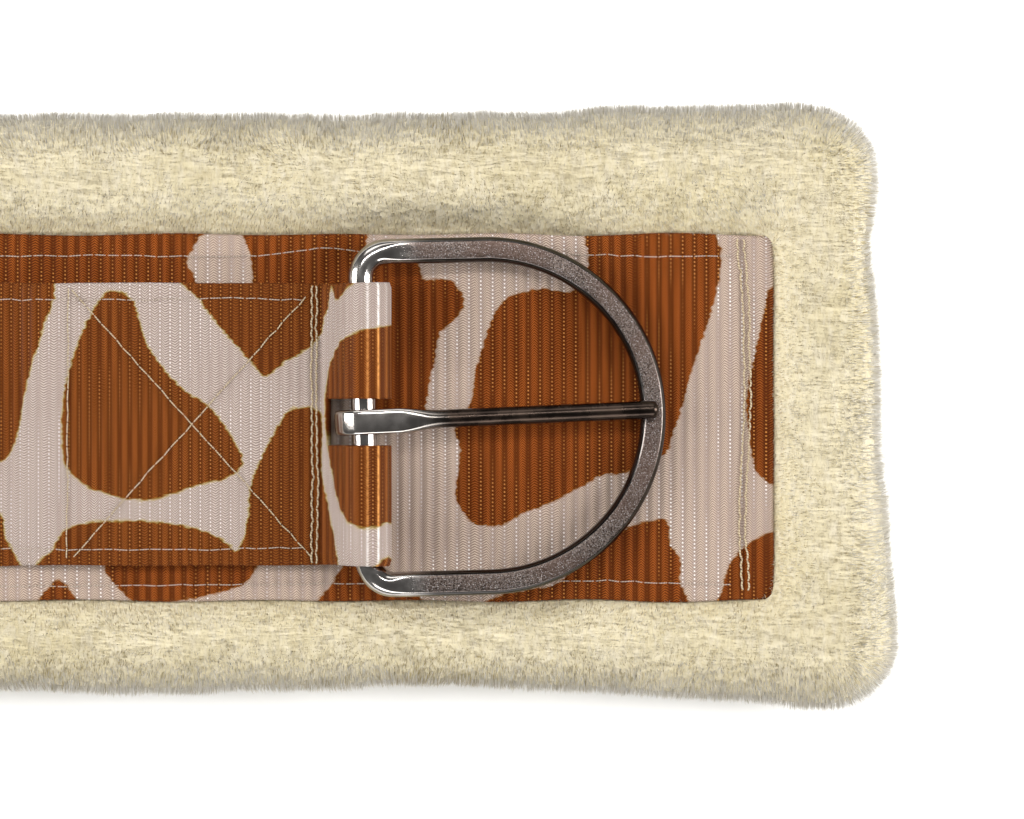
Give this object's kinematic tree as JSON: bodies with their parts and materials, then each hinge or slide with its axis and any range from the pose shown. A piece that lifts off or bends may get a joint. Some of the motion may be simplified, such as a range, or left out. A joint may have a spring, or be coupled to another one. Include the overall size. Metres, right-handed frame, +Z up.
{
  "type": "saddle girth",
  "caption": "Western saddle girth: fleece-wrapped pad faced with ribbed webbing and a printed strap, a D-shaped buckle with a tongue at each end and dee rings at the middle.",
  "frame": {"origin": "middle of the pad's underside", "axes": "+X along the girth towards the right-hand buckle, +Y across it, +Z up out of the face that carries the buckles"},
  "size_m": [0.882, 0.162, 0.04],
  "materials": {
    "fleece": "short combed pile, cream and paler at its outer edge",
    "felt": "pressed felt, out of sight",
    "webbing": "ribbed webbing printed with rust-brown patches on a pale ground",
    "strap": "ribbed webbing with twisted yarn between its ribs, printed with rust-brown patches on a pale ground",
    "thread": "twisted cream thread",
    "steel": "polished, the buckle's flat face blasted dark between bright bevels"
  },
  "bodies": {
    "girth": {"fleece_cover": "fleece", "felt_core": "felt", "base_webbing": "webbing", "main_strap": "strap", "cross_strap": "strap", "base_edge_stitch_back": "thread", "base_edge_stitch_front": "thread", "cross_stitch_back": "thread", "cross_stitch_front": "thread", "strap_edge_stitch_right_front": "thread", "strap_edge_stitch_right_back": "thread", "strap_edge_stitch_left_front": "thread", "strap_edge_stitch_left_back": "thread", "right_end_stitch": "thread", "right_box_stitch": "thread", "right_bar_tack": "thread", "left_end_stitch": "thread", "left_box_stitch": "thread", "left_bar_tack": "thread"},
    "right_frame": {"right_buckle_frame": "steel"},
    "right_tongue": {"right_buckle_tongue": "steel"},
    "left_frame": {"left_buckle_frame": "steel"},
    "left_tongue": {"left_buckle_tongue": "steel"},
    "back_dee": {"back_dee_ring": "steel"},
    "front_dee": {"front_dee_ring": "steel"}
  },
  "joints": [
    {"name": "right_frame_hinge", "type": "hinge", "parent": "girth", "child": "right_frame", "pos_m": [0.299, -0.0029, 0.032], "axis": [0.0244, -0.9997, 0], "range_deg": [0, 60]},
    {"name": "right_tongue_hinge", "type": "hinge", "parent": "right_frame", "child": "right_tongue", "pos_m": [0.299, -0.0029, 0.032], "axis": [0.0244, -0.9997, 0], "range_deg": [0, 70]},
    {"name": "left_frame_hinge", "type": "hinge", "parent": "girth", "child": "left_frame", "pos_m": [-0.299, -0.0029, 0.032], "axis": [0.0244, 0.9997, 0], "range_deg": [0, 60]},
    {"name": "left_tongue_hinge", "type": "hinge", "parent": "left_frame", "child": "left_tongue", "pos_m": [-0.299, -0.0029, 0.032], "axis": [0.0244, 0.9997, 0], "range_deg": [0, 70]},
    {"name": "back_dee_hinge", "type": "hinge", "parent": "girth", "child": "back_dee", "pos_m": [0, 0.0429, 0.0294], "axis": [1, 0, 0], "range_deg": [0, 165]},
    {"name": "front_dee_hinge", "type": "hinge", "parent": "girth", "child": "front_dee", "pos_m": [0, -0.0481, 0.0294], "axis": [-1, 0, 0], "range_deg": [0, 165]}
  ]
}
